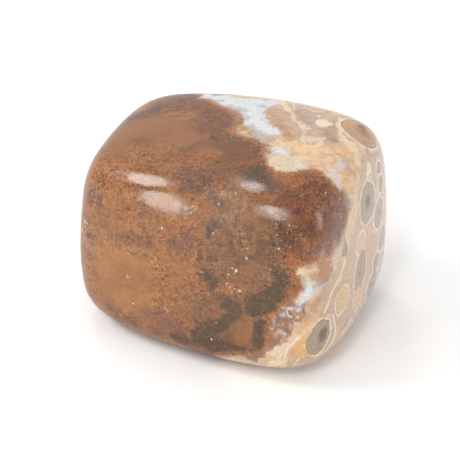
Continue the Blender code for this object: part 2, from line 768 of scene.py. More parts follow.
# The broad zones of the brown body, laid under its grain
BODY_WASHES: tuple[Stain, ...] = (
    Stain(Tint.BROWN, 2.4, 0.8, 0.95, (
        (215, 250, 2.6), (245, 262, 3.0), (235, 222, 2.0), (262, 282, 2.6), (238, 312, 2.4), (222, 292, 2.2),
        (280, 240, 2.4), (205, 322, 1.6), (262, 205, 1.8), (215, 200, 1.4), (190, 300, 1.4), (236, 190, 1.4),
    )),
    Stain(Tint.OCHRE, 3.0, 0.7, 1.0, (
        (95, 170, 3.0), (100, 230, 3.5), (110, 280, 4.0), (140, 240, 4.0), (170, 215, 3.0), (150, 300, 3.0),
        (185, 270, 2.0), (120, 190, 3.0), (190, 225, 1.5),
    )),
    Stain(Tint.TAN, 2.0, 0.5, 0.9, (
        (135, 130, 2.4), (160, 128, 2.6), (186, 134, 2.2), (122, 152, 1.6), (205, 152, 1.4),
        (176, 117, 1.0), (150, 150, 1.5),
    )),
    Stain(Tint.RIDGE_ORANGE, 1.6, 0.5, 0.85, (
        (150, 168, 1.4), (168, 165, 1.4), (186, 160, 1.2), (205, 163, 1.1), (118, 185, 1.4), (130, 205, 1.2),
        (165, 215, 1.5), (190, 212, 1.4), (203, 212, 0.9),
    )),
    Stain(Tint.YELLOW_OCHRE, 1.6, 0.6, 0.8, (
        (98, 252, 1.2), (115, 252, 1.3), (135, 255, 1.3), (150, 262, 1.2), (152, 270, 1.0), (104, 262, 1.4),
        (125, 300, 1.4), (145, 302, 1.2), (105, 120, 0.8),
    )),
    Stain(Tint.COCOA, 1.6, 0.7, 0.95, (
        (160, 101, 1.3), (176, 100, 1.6), (195, 104, 1.8), (212, 114, 1.8), (225, 121, 1.4), (207, 128, 1.2),
        (222, 139, 1.4), (238, 148, 1.3), (252, 154, 1.0), (230, 160, 1.0),
    )),
)

# Where the brown body's grain is weakest
CALM: tuple[Spot, ...] = (
    (140, 128, 2.6), (170, 132, 2.8), (200, 142, 2.2), (232, 150, 1.6), (120, 148, 1.4), (118, 268, 2.0),
    (140, 275, 1.8), (112, 292, 1.8), (135, 300, 1.8), (236, 332, 1.6),
)

# Where the brown body's grain is strongest
GRAINY: tuple[Spot, ...] = (
    (186, 176, 0.8), (197, 180, 1.2), (208, 182, 1.0), (222, 190, 0.7), (300, 186, 0.9), (316, 188, 0.9),
    (285, 235, 1.0), (240, 240, 0.8), (95, 195, 1.2),
)

# The brown body's spots, strokes and specks, laid over its broad zones; its white specks are partly druzy in
# pits and partly painted glints
BODY_STAINS: tuple[Stain, ...] = (
    Stain(Tint.RUST, 1.4, 0.8, 0.85, (
        (292, 188, 1.4), (306, 186, 1.6), (322, 192, 1.5), (332, 205, 1.3), (325, 222, 1.5), (308, 212, 1.8),
        (335, 228, 1.0), (300, 238, 1.5), (318, 240, 1.3), (290, 208, 1.5), (302, 225, 1.3), (290, 255, 1.0),
        (205, 178, 1.3), (190, 176, 1.1), (220, 178, 1.1), (182, 182, 0.8), (240, 168, 0.8), (258, 160, 0.7),
    )),
    Stain(Tint.PLUM, 0.9, 0.9, 0.65, (
        (96, 200, 0.8), (92, 190, 0.5), (98, 208, 0.6), (88, 222, 0.5), (92, 240, 0.5), (90, 255, 0.4),
        (144, 213, 0.5), (150, 214, 0.4), (184, 206, 0.5), (105, 222, 0.5), (176, 246, 0.9), (190, 240, 0.8),
    ), (
        ((112, 236, 0.35), (124, 239, 0.45), (137, 241, 0.35), (152, 244, 0.3)),
        ((110, 305, 0.5), (120, 318, 0.6), (135, 325, 0.6)),
        ((150, 312, 0.8), (165, 322, 1.0), (180, 328, 0.9)),
    )),
    Stain(Tint.DARK_OLIVE, 1.0, 0.8, 0.55, (
        (278, 240, 1.0), (290, 238, 0.9), (284, 230, 0.6), (296, 246, 0.5), (262, 248, 0.9), (250, 228, 0.5),
        (222, 206, 0.5),
    )),
    Stain(Tint.OLIVE, 0.6, 0.5, 0.95, (
        (256, 171, 0.9), (263, 178, 0.9), (270, 186, 0.6), (252, 178, 0.6), (206, 276, 0.6), (212, 285, 0.5),
        (215, 281, 0.6),
    ), (
        ((275, 270, 0.5), (281, 278, 0.8), (280, 290, 0.9), (266, 300, 1.0), (252, 306, 0.9)),
        ((268, 304, 0.9), (256, 314, 0.6)),
        ((236, 310, 0.7), (226, 303, 0.8), (222, 298, 0.4)),
        ((232, 316, 0.6), (222, 323, 0.8), (206, 330, 0.9), (196, 338, 0.8)),
        ((262, 324, 0.5), (260, 334, 0.6), (258, 344, 0.6)),
        ((250, 350, 0.3), (232, 348, 0.35), (214, 344, 0.5), (194, 342, 0.6), (176, 338, 0.5)),
    )),
    Stain(Tint.CHARCOAL, 0.35, 0.35, 0.8, (
        (209, 228, 0.35), (215, 224, 0.3), (211, 233, 0.35), (206, 235, 0.25), (201, 259, 0.22),
        (206, 270, 0.26), (240, 170, 0.16), (214, 173, 0.18), (88, 235, 0.25),
    )),
    Stain(Tint.GREEN, 0.2, 0.15, 0.9, ((211, 137, 0.22), (214, 139, 0.25), (217, 140, 0.15))),
    Stain(Tint.SPECK, 0.12, 0.08, 0.5, (), (
        ((176, 204, 0.08), (186, 208, 0.11), (196, 207, 0.08)),
        ((184, 214, 0.08), (192, 213, 0.11), (198, 209, 0.07)),
    )),
    # White specks in the pits and on the left edge: partly druzy crystal, partly painted glints of light on
    # the polish
    Stain(Tint.SPARKLE, 0.14, 0.06, 0.9, (
        (246, 259, 0.13), (231, 269, 0.11), (235, 271, 0.15), (228, 274, 0.08), (226, 284, 0.10),
        (229, 287, 0.10), (235, 289, 0.11), (239, 291, 0.10), (168, 311, 0.12), (161, 309, 0.09),
        (127, 277, 0.09), (85, 222, 0.15), (82, 230, 0.14), (162, 228, 0.08), (219, 204, 0.07),
        (243, 248, 0.09), (270, 269, 0.1), (269, 273, 0.08), (278, 249, 0.1), (213, 233, 0.08),
        (201, 272, 0.1), (212, 340, 0.1), (262, 336, 0.1), (231, 291, 0.1), (248, 248, 0.06),
        (134, 303, 0.08), (87, 224, 0.1),
    )),
    Stain(Tint.DARK_RUST, 0.5, 0.9, 0.75, (
        (183, 175, 0.5), (190, 181, 0.6), (200, 173, 0.6), (205, 183, 0.5), (195, 189, 0.5), (188, 169, 0.3),
        (210, 176, 0.3), (184, 190, 0.3), (300, 184, 0.4), (312, 184, 0.4), (322, 190, 0.4), (288, 192, 0.3),
        (330, 206, 0.3), (326, 216, 0.3), (302, 200, 0.3), (296, 212, 0.3), (308, 228, 0.4), (284, 222, 0.3),
        (308, 244, 0.3), (250, 258, 0.3), (232, 254, 0.3), (222, 246, 0.2), (279, 188, 0.4), (286, 196, 0.4),
        (216, 118, 0.3), (228, 124, 0.3), (236, 139, 0.3), (248, 144, 0.3),
    )),
    Stain(Tint.UMBER, 0.8, 0.9, 0.75, (
        (184, 178, 0.6), (192, 184, 0.7), (202, 176, 0.7), (206, 186, 0.6), (188, 170, 0.4), (212, 196, 0.7),
        (300, 196, 0.7), (316, 186, 0.5), (308, 238, 0.8), (296, 232, 0.6), (330, 196, 0.4), (322, 206, 0.5),
        (240, 262, 0.7), (262, 258, 0.8), (228, 246, 0.5), (272, 262, 0.6), (206, 302, 0.6), (246, 300, 0.5),
        (170, 240, 0.5), (150, 238, 0.4), (128, 240, 0.4), (216, 258, 0.5), (278, 186, 0.8), (284, 196, 0.6),
        (222, 126, 0.7), (244, 144, 0.6), (232, 138, 0.5), (248, 346, 0.5), (230, 352, 0.4),
    )),
    Stain(Tint.MAUVE, 1.0, 0.6, 0.85, (
        (341, 198, 0.9), (343, 212, 1.0), (342, 224, 1.0), (336, 236, 1.0), (326, 246, 0.9), (314, 250, 0.6),
        (334, 202, 0.5), (336, 215, 0.4),
    )),
    Stain(Tint.PINK_MAUVE, 0.7, 0.5, 0.65, (), (
        ((208, 98, 0.25), (222, 105, 0.35), (233, 110, 0.4), (240, 115, 0.35), (234, 122, 0.2)),
        ((262, 141, 0.25), (266, 150, 0.25), (266, 160, 0.2)),
    )),
    Stain(Tint.PINK_MAUVE, 0.8, 0.6, 0.9, (
        (349, 200, 0.8), (350, 212, 0.9), (349, 224, 0.9), (344, 236, 0.9), (336, 247, 0.7), (323, 255, 0.5),
        (346, 192, 0.6),
    )),
    Stain(Tint.RIM_ORANGE, 0.9, 0.6, 0.85, (
        (309, 243, 0.5), (305, 240, 0.4), (296, 184, 0.4), (286, 180, 0.5), (303, 180, 0.5), (275, 176, 0.4),
        (290, 262, 0.6), (292, 270, 0.4), (297, 282, 0.5), (290, 292, 0.4), (230, 291, 0.6), (221, 290, 0.4),
    )),
)

# The pale end's zones, from the tan and orange ones up to the chalcedony and its frost
PALE_STAINS: tuple[Stain, ...] = (
    Stain(Tint.TAN_FLOW, 1.0, 0.5, 0.85, (
        (272, 110, 0.6), (278, 112, 0.8), (281, 122, 0.8), (284, 132, 0.7), (270, 138, 0.5),
        (296, 352, 0.9), (302, 358, 0.8), (318, 262, 0.8),
    ), (
        ((336, 284, 0.4), (330, 300, 0.6), (322, 314, 0.6), (315, 322, 0.5)),
    )),
    Stain(Tint.PINK_TAN, 0.9, 0.4, 0.85, (
        (290, 124, 0.5), (290, 132, 0.4), (310, 164, 0.5), (320, 165, 0.5),
    ), (
        ((342, 240, 0.3), (341, 258, 0.4), (337, 272, 0.4), (330, 288, 0.35)),
    )),
    Stain(Tint.GREY_MATRIX, 0.6, 0.4, 0.9, (
        (296, 113, 0.7), (302, 119, 0.7), (307, 123, 0.5), (328, 133, 0.9), (332, 138, 0.7), (334, 128, 0.5),
        (336, 121, 0.3), (345, 240, 0.3), (346, 325, 0.5), (342, 334, 0.4),
    )),
    Stain(Tint.ORANGE_CREAM, 1.0, 0.4, 0.9, (
        (292, 144, 0.7), (302, 150, 0.8), (314, 151, 0.8), (326, 150, 0.8), (340, 150, 0.8), (348, 154, 0.6),
        (330, 158, 0.6), (352, 166, 0.4), (353, 180, 0.3), (316, 158, 0.5), (304, 157, 0.5), (339, 158, 0.4),
    )),
    Stain(Tint.ORANGE, 0.8, 0.35, 0.95, (
        (344, 150, 0.4), (330, 147, 0.3), (309, 330, 0.9), (303, 338, 1.1), (307, 347, 1.0),
        (299, 347, 0.7), (312, 324, 0.5), (300, 353, 0.5), (306, 279, 0.25), (270, 116, 0.3),
        (342, 172, 0.3), (345, 178, 0.3),
    )),
    Stain(Tint.TAN_ORANGE, 0.6, 0.5, 0.9, (
        (330, 246, 0.4), (300, 264, 0.5), (271, 112, 0.5), (276, 121, 0.7), (283, 128, 0.8), (288, 137, 0.6),
        (314, 278, 0.6), (310, 266, 0.5), (318, 284, 0.5), (312, 308, 0.6), (306, 317, 0.6), (318, 300, 0.5),
        (274, 105, 0.4), (266, 142, 0.3),
    ), (
        ((298, 262, 0.4), (310, 261, 0.6), (322, 258, 0.7), (332, 252, 0.6)),
    )),
    Stain(Tint.CREAM, 0.6, 0.3, 0.9, (
        (353, 147, 0.8), (357, 153, 0.7), (357, 161, 0.5), (277, 348, 0.5), (272, 354, 0.3), (362, 147, 0.5),
        (370, 148, 0.4), (297, 160, 0.3),
    )),
    Stain(Tint.PINK_CREAM, 0.6, 0.4, 0.9, ((308, 140, 0.6), (315, 140, 0.6)), (
        ((297, 271, 0.08), (306, 272, 0.22), (316, 270, 0.18)),
        ((318, 321, 0.2), (306, 331, 0.3), (292, 340, 0.4), (280, 348, 0.4), (270, 353, 0.25)),
    )),
    Stain(Tint.FLOW_BROWN, 0.5, 0.5, 0.9, (
        (325, 268, 0.9), (328, 274, 0.9), (324, 280, 0.8), (268, 118, 0.4), (280, 127, 0.5),
        (286, 134, 0.35), (274, 116, 0.3), (322, 273, 0.4), (272, 124, 0.3), (328, 134, 0.3),
        (334, 140, 0.3),
    ), (
        ((304, 262, 0.25), (316, 259, 0.4), (330, 250, 0.4)),
    )),
    Stain(Tint.MAUVE_BROWN, 0.6, 0.6, 0.9, (), (
        ((305, 300, 0.4), (296, 309, 0.9), (285, 318, 1.1), (281, 330, 0.9), (274, 340, 0.8)),
        ((268, 344, 0.6), (262, 352, 0.5), (250, 358, 0.4)),
    )),
    Stain(Tint.TAN_ORANGE, 0.4, 0.7, 0.8, (
        (280, 323, 0.25), (289, 327, 0.3), (275, 335, 0.3), (270, 326, 0.25), (297, 315, 0.3),
        (284, 307, 0.2), (282, 338, 0.2), (274, 312, 0.2), (266, 348, 0.3), (300, 306, 0.2),
    )),
    Stain(Tint.PLUM, 0.4, 0.7, 0.75, (
        (281, 312, 0.3), (292, 320, 0.3), (276, 320, 0.25), (285, 333, 0.2), (296, 309, 0.3),
        (271, 336, 0.2), (289, 305, 0.2), (270, 318, 0.2),
    )),
    Stain(Tint.GREY_HALO, 0.8, 0.5, 0.8, (
        (246, 120, 0.6), (242, 112, 0.4), (258, 134, 0.7), (268, 140, 0.6), (272, 148, 0.4), (320, 285, 0.5),
        (312, 288, 0.4),
    )),
    Stain(Tint.YELLOW_DRUZY, 0.6, 0.5, 0.85, (
        (236, 126, 0.8), (244, 129, 0.8), (252, 133, 0.7), (233, 131, 0.5), (241, 122, 0.5),
    )),
    Stain(Tint.DRUZY_CREAM, 0.7, 0.5, 0.95, (
        (278, 160, 0.9), (288, 165, 0.9), (298, 166, 0.6), (282, 170, 0.5), (273, 162, 0.4), (296, 158, 0.4),
        (274, 154, 0.4),
    )),
    Stain(Tint.CHALCEDONY, 1.0, 0.6, 0.8, ((280, 150, 0.7), (286, 153, 0.3), (275, 149, 0.3))),
    Stain(Tint.CHALCEDONY, 0.7, 0.6, 0.95, ((306, 284, 0.3),), (
        ((204, 94, 0.4), (214, 97, 0.9), (228, 101, 1.2), (242, 103, 1.5), (256, 104, 1.6), (270, 103, 1.0)),
        ((253, 109, 1.1), (250, 116, 1.0), (257, 122, 1.2), (266, 128, 0.8), (276, 132, 0.35)),
        ((307, 285, 0.3), (309, 292, 0.55), (304, 298, 0.45), (300, 303, 0.35), (296, 308, 0.2)),
    )),
    Stain(Tint.FROST, 0.6, 0.6, 0.8, (
        (244, 111, 0.5), (245, 118, 0.6), (250, 127, 0.5), (230, 106, 0.5), (219, 101, 0.4), (258, 133, 0.5),
        (238, 109, 0.5), (264, 137, 0.4),
        (262, 106, 0.3), (262, 120, 0.2), (286, 148, 0.2), (272, 98, 0.3), (275, 154, 0.2),
    )),
    Stain(Tint.LAVENDER, 0.5, 0.5, 0.9, (
        (334, 172, 0.6), (341, 166, 0.5), (338, 180, 0.5), (330, 169, 0.3), (342, 188, 0.3), (300, 166, 0.5),
        (345, 200, 0.25), (341, 205, 0.25), (298, 294, 0.4), (315, 292, 0.3),
    )),
    Stain(Tint.LAVENDER, 0.4, 0.5, 0.6, (
        (283, 315, 0.12), (287, 322, 0.12), (279, 330, 0.14), (289, 318, 0.1), (274, 326, 0.1),
        (284, 334, 0.1), (278, 309, 0.1), (294, 322, 0.08),
    )),
)


@dataclass(frozen=True)
class Vein:
    """A thin line in the stone: its colour, half width in mm, share, and the pixels that it passes."""

    tint: Tint
    half: float
    strength: float
    path: tuple[Pixel, ...]


# The pale end's cream, grey and brown lines
VEINS: tuple[Vein, ...] = (
    Vein(Tint.CREAM, 0.20, 0.85, (
        (285, 103), (287, 110), (292, 114), (294, 120), (300, 124), (303, 128), (304, 133),
    )),
    Vein(Tint.CREAM, 0.16, 0.85, ((303, 108), (312, 111), (324, 112), (334, 110))),
    Vein(Tint.CREAM, 0.24, 0.85, ((341, 118), (339, 126), (341, 134), (346, 143))),
    Vein(Tint.CREAM, 0.16, 0.8, ((333, 113), (345, 116), (356, 118), (368, 121))),
    Vein(Tint.CREAM, 0.18, 0.9, ((304, 146), (312, 148), (320, 145), (323, 138))),
    Vein(Tint.FLOW_BROWN, 0.09, 0.8, (
        (294, 120), (301, 128), (304, 132), (312, 130), (319, 133), (321, 139),
    )),
    Vein(Tint.CREAM, 0.10, 0.8, ((303, 134), (302, 140), (306, 145), (314, 146), (320, 142))),
    Vein(Tint.FLOW_BROWN, 0.06, 0.6, ((340, 154), (325, 157), (308, 158))),
    Vein(Tint.GREY_VEIN, 0.2, 0.65, (
        (343, 236), (339, 248), (335, 256), (336, 265), (332, 274), (330, 282), (322, 287), (317, 293),
        (311, 294),
    )),
    Vein(Tint.RING, 0.16, 0.9, ((345, 262), (341, 275), (335, 287), (329, 300), (325, 312))),
    Vein(Tint.RING, 0.16, 0.9, ((333, 314), (335, 324), (335, 333), (332, 342), (326, 350), (317, 356))),
    Vein(Tint.RING, 0.14, 0.85, ((300, 337), (291, 344), (287, 349), (285, 356), (282, 362), (276, 366))),
    Vein(Tint.CREAM, 0.14, 0.8, ((304, 356), (298, 360), (294, 366))),
    Vein(Tint.LAVENDER, 0.08, 0.9, (
        (290, 309), (287, 312), (288, 316), (291, 317), (293, 313), (290, 309),
    )),
    Vein(Tint.GREY_VEIN, 0.07, 0.8, ((271, 306), (275, 308), (279, 306), (285, 309), (290, 309))),
)


@dataclass(frozen=True)
class Orbs:
    """A family of orbs that are coloured alike: the tints of their balls and eyes, and where they are.

    Each orb is a pixel of the photograph and the pixels from there to its top. Each eye is a pixel and a
    radius in mm.
    """

    ball: Tint
    eye: Tint
    orbs: tuple[Spot, ...]
    eyes: tuple[Spot, ...]


GREY_ORBS = Orbs(Tint.TAUPE, Tint.DARK_EYE, (
    (368, 202, 20), (379, 213, 13), (381, 183, 8), (382, 238, 10), (361, 265, 12), (360, 275, 13),
    (376, 262, 7), (372, 285, 11), (345, 250, 6), (321, 330, 9), (320, 337, 11), (318, 343, 10),
    (379, 168, 6),
), ((368, 200, 0.5), (379, 212, 0.3), (324, 332, 0.6), (323, 337, 0.5), (371, 285, 0.25), (360, 272, 0.2)))

TAN_ORBS = Orbs(Tint.ORB_TAN, Tint.RED_EYE, ((362, 131, 12),), ((362, 127, 0.45),))

HONEY_ORBS = Orbs(Tint.HONEY, Tint.ORANGE, (
    (358, 296, 9), (342, 300, 11), (361, 243, 9),
), ((340, 293, 0.35), (341, 304, 0.25), (358, 298, 0.2)))

# Where the orbs have no ring
UNRINGED: tuple[Spot, ...] = (
    (311, 328, 0.7), (309, 338, 0.8), (311, 350, 0.8), (372, 126, 0.9), (372, 140, 0.8), (360, 146, 0.7),
    (345, 244, 0.4), (336, 296, 0.4), (379, 226, 0.5),
)

# Round white spots in the pale end
WHITE_SPOTS: tuple[Spot, ...] = (
    (323, 123, 0.75), (318, 116, 0.25), (331, 124, 0.25), (369, 169, 0.55), (368, 174, 0.4),
)

# Where the polish on the brown body is best, and where it is dull: pixel, and radius in mm
GLOSSY: tuple[Spot, ...] = (
    (147, 180, 1.3), (136, 177, 0.8), (158, 183, 0.8), (148, 199, 1.2), (163, 202, 1.0), (138, 197, 0.7),
    (175, 206, 0.5), (256, 188, 0.9), (248, 186, 0.6), (264, 191, 0.4), (266, 203, 0.5), (274, 208, 0.6),
    (280, 216, 0.5), (318, 215, 0.9), (318, 230, 0.9), (316, 244, 0.7),
)
DULL: tuple[Spot, ...] = (
    (190, 172, 1.6), (208, 176, 1.6), (224, 180, 1.2), (205, 206, 1.6), (224, 212, 1.5), (240, 216, 1.2),
    (236, 200, 0.8), (120, 180, 0.8), (110, 190, 1.0),
)


@dataclass(frozen=True)
class Fleck:
    """A tint that shows where noise has passed its step, up or down, and how strongly it shows."""

    tint: Tint
    step: tuple[float, float]
    strength: float


# The coarse flecks of the brown body, then the fine ones
MOTTLE: tuple[Fleck, ...] = (
    Fleck(Tint.RUST, (0.54, 0.66), 0.4),
    Fleck(Tint.UMBER, (0.47, 0.36), 0.65),
)
GRAIN: tuple[Fleck, ...] = (
    Fleck(Tint.DARK_RUST, (0.58, 0.68), 0.85),
    Fleck(Tint.SPECK, (0.36, 0.26), 0.5),
)


@dataclass(frozen=True)
class Specks:
    """Round specks: their tint, how many cells in a mm may hold one, and how strong they are.

    size is the step from a speck's edge to its full colour, in cells. rarity is the step in each cell's
    chance from no speck to one.
    """

    tint: Tint
    per_mm: float
    size: tuple[float, float]
    rarity: tuple[float, float]
    strength: float


# The brown body's small light specks, then its rarer bright ones, which are painted glints of light on the
# polish
SPECKS: tuple[Specks, ...] = (
    Specks(Tint.SPECK, 2.4, (0.22, 0.10), (0.72, 0.80), 0.5),
    Specks(Tint.SPARKLE, 0.9, (0.10, 0.05), (0.84, 0.86), 0.6),
)

# The brown body's ground colour, by noise
BODY_BANDS: Bands = (
    (0.34, Tint.OCHRE), (0.42, Tint.TAN), (0.48, Tint.BROWN), (0.54, Tint.COCOA), (0.60, Tint.UMBER),
    (0.66, Tint.OLIVE),
)

# The matrix between the orbs, by mm from the nearest orb
MATRIX_BANDS: Bands = (
    (-0.2, Tint.TAN_FLOW), (0.1, Tint.MATRIX), (0.35, Tint.PINK_CREAM), (0.55, Tint.MATRIX),
    (0.75, Tint.TAN_FLOW), (0.95, Tint.PINK_TAN), (1.1, Tint.PEACH), (1.3, Tint.MATRIX), (1.7, Tint.PEACH),
    (2.1, Tint.MATRIX),
)

# The banks along the pale side of the border, by mm from it
BANK_BANDS: Bands = (
    (-0.8, Tint.CHALCEDONY), (-0.4, Tint.LAVENDER), (0.0, Tint.GREY_HALO), (0.35, Tint.PEACH),
    (0.6, Tint.CREAM), (0.75, Tint.TAN_FLOW), (1.1, Tint.ORANGE_CREAM), (1.5, Tint.PEACH),
    (1.7, Tint.CREAM), (1.85, Tint.PINK_TAN), (2.3, Tint.ORANGE_CREAM), (2.8, Tint.TAN_FLOW),
    (3.3, Tint.PEACH),
)

# The bands that flow along their smooth line, by mm from its left to its right
FLOW_BANDS: Bands = (
    (-0.6, Tint.PEACH), (-0.42, Tint.PEACH), (-0.25, Tint.PINK_TAN), (-0.1, Tint.CREAM), (0.1, Tint.CREAM),
    (0.2, Tint.TAN_FLOW), (0.38, Tint.CREAM), (0.55, Tint.MATRIX),
)


@dataclass(frozen=True)
class Swell:
    """A gentle rise or hollow of the surface: its pixel, and its spread and height in mm."""

    pixel: Pixel
    spread: float
    height: float


SWELLS: tuple[Swell, ...] = (
    Swell((252, 214), 1.4, 0.08),
    Swell((212, 190), 2.2, -0.06),
    Swell((257, 186), 1.0, 0.04),
)


@dataclass(frozen=True)
class Facet:
    """A patch that the tumbler left nearly flat: its pixel, then its depth, crown and reach in mm."""

    pixel: Pixel
    depth: float
    crown: float
    reach: float


FACETS: tuple[Facet, ...] = (
    Facet((147, 180), 0.06, 30.0, 2.6),
    Facet((158, 199), 0.08, 30.0, 2.6),
    Facet((256, 188), 0.04, 30.0, 1.8),
    Facet((274, 213), 0.05, 20.0, 1.8),
)

# Small open pits in the polish: pixel, then radius and depth in mm
Pit = tuple[float, float, float, float]
PITS: tuple[Pit, ...] = (
    (246, 259, 0.22, 0.12), (233, 271, 0.26, 0.13), (229, 286, 0.26, 0.12), (236, 290, 0.22, 0.12),
    (165, 310, 0.24, 0.12), (125, 277, 0.30, 0.12), (130, 211, 0.22, 0.10), (84, 230, 0.22, 0.10),
    (162, 228, 0.20, 0.08), (181, 102, 0.18, 0.08), (202, 133, 0.18, 0.08), (210, 339, 0.18, 0.08),
    (262, 336, 0.20, 0.08), (332, 206, 0.20, 0.08), (291, 313, 0.30, 0.12), (278, 249, 0.14, 0.06),
    (270, 269, 0.14, 0.06), (211, 232, 0.26, 0.10), (238, 238, 0.14, 0.05), (203, 272, 0.16, 0.07),
    (269, 272, 0.14, 0.06), (285, 285, 0.16, 0.07), (243, 248, 0.12, 0.05), (134, 302, 0.16, 0.06),
)


@dataclass(frozen=True)
class OrbScatter:
    """Orbs placed by chance on the sides that the photograph doesn't show.

    The azimuths and elevations are in degrees. sizes are the orbs' radii and gap is the room between two,
    in mm. clear_of_brown and deeper say how far an orb's edge and its middle keep from the brown body.
    """

    count: int = 34
    tries: int = 4000
    azimuths: tuple[float, float] = (60, 215)
    elevations: tuple[float, float] = (-75, 70)
    sizes: tuple[float, ...] = (0.6, 0.8, 1.0, 1.3, 1.7, 2.1)
    gap: float = 0.25
    clear_of_brown: float = 1.2
    deeper: float = 0.2
    turned_away: float = -0.05

    def place(
        self, survey: Survey, taken: list[Ball], brown: list[Vector], pale: list[Vector]
    ) -> list[Ball]:
        """Places the orbs.

        Args:
            survey: what finds places on the stone.
            taken: the orbs that are there.
            brown: points on the border's brown side.
            pale: points on its pale side.

        Returns:
            The new orbs' centres and radii in mm.
        """
        chance = random.Random(SEED)
        found: list[Ball] = []
        for _ in range(self.tries):
            if len(found) == self.count:
                break
            angles = (chance.uniform(*self.azimuths), chance.uniform(*self.elevations))
            radius = chance.choice(self.sizes)
            place, normal = survey.around(angles)
            hidden = normal.dot(survey.camera.back()) < self.turned_away
            edge = min((place - point).length for point in brown)
            inner = min((place - point).length for point in pale + [PALE_CORE[0]])
            room = [(place - other).length > radius + size + self.gap for other, size in taken + found]
            deep = edge > inner + self.deeper and edge > radius + self.clear_of_brown
            if hidden and deep and all(room):
                found.append((place, radius))
        return found


@dataclass(frozen=True)
class Polish:
    """The finish of the tumbled surface.

    best is its lowest roughness, and uneven, worn and dull are what noise, wear and the dull spots add.
    refraction is how it bends light. pore_depth is in mm, and pale_pores the pores' share at the pale end.
    """

    best: float = 0.07
    uneven: float = 0.16
    worn: float = 0.16
    dull: float = 0.14
    refraction: float = 1.54
    pore_strength: float = 0.14
    pore_depth: float = 0.08
    pale_pores: float = 0.25

    def dress(self, recipe: Recipe, survey: Survey, where: Grain, pale: Field) -> None:
        """Polishes the stone, best where the photograph shows sharp highlights.

        Args:
            recipe: the stone's material.
            survey: what finds places on the stone.
            where: the stone's places.
            pale: how much a place belongs to the pale end, from 0 to 1.
        """
        inputs = recipe.shader.inputs
        glossy = where.outside(survey.balls(GLOSSY)).rise(0.4, -0.2)
        dull = where.outside(survey.balls(DULL)).rise(0.5, -0.3)
        worn = (1 - pale) * (1 - glossy) * self.worn + dull * (1 - glossy) * self.dull
        roughness = worn + where.noise(Cloud.POLISH) * self.uneven + self.best
        recipe.tree.links.new(roughness.socket, inputs["Roughness"])
        inputs["IOR"].default_value = self.refraction
        pores = where.noise(Cloud.PORES) * (1 - pale) + where.noise(Cloud.PALE_PORES) * self.pale_pores
        sizes = {"Strength": self.pore_strength, "Distance": self.pore_depth * MM}
        bump = recipe.node("ShaderNodeBump", {}, {**sizes, "Height": pores})
        recipe.tree.links.new(bump.outputs["Normal"], inputs["Normal"])


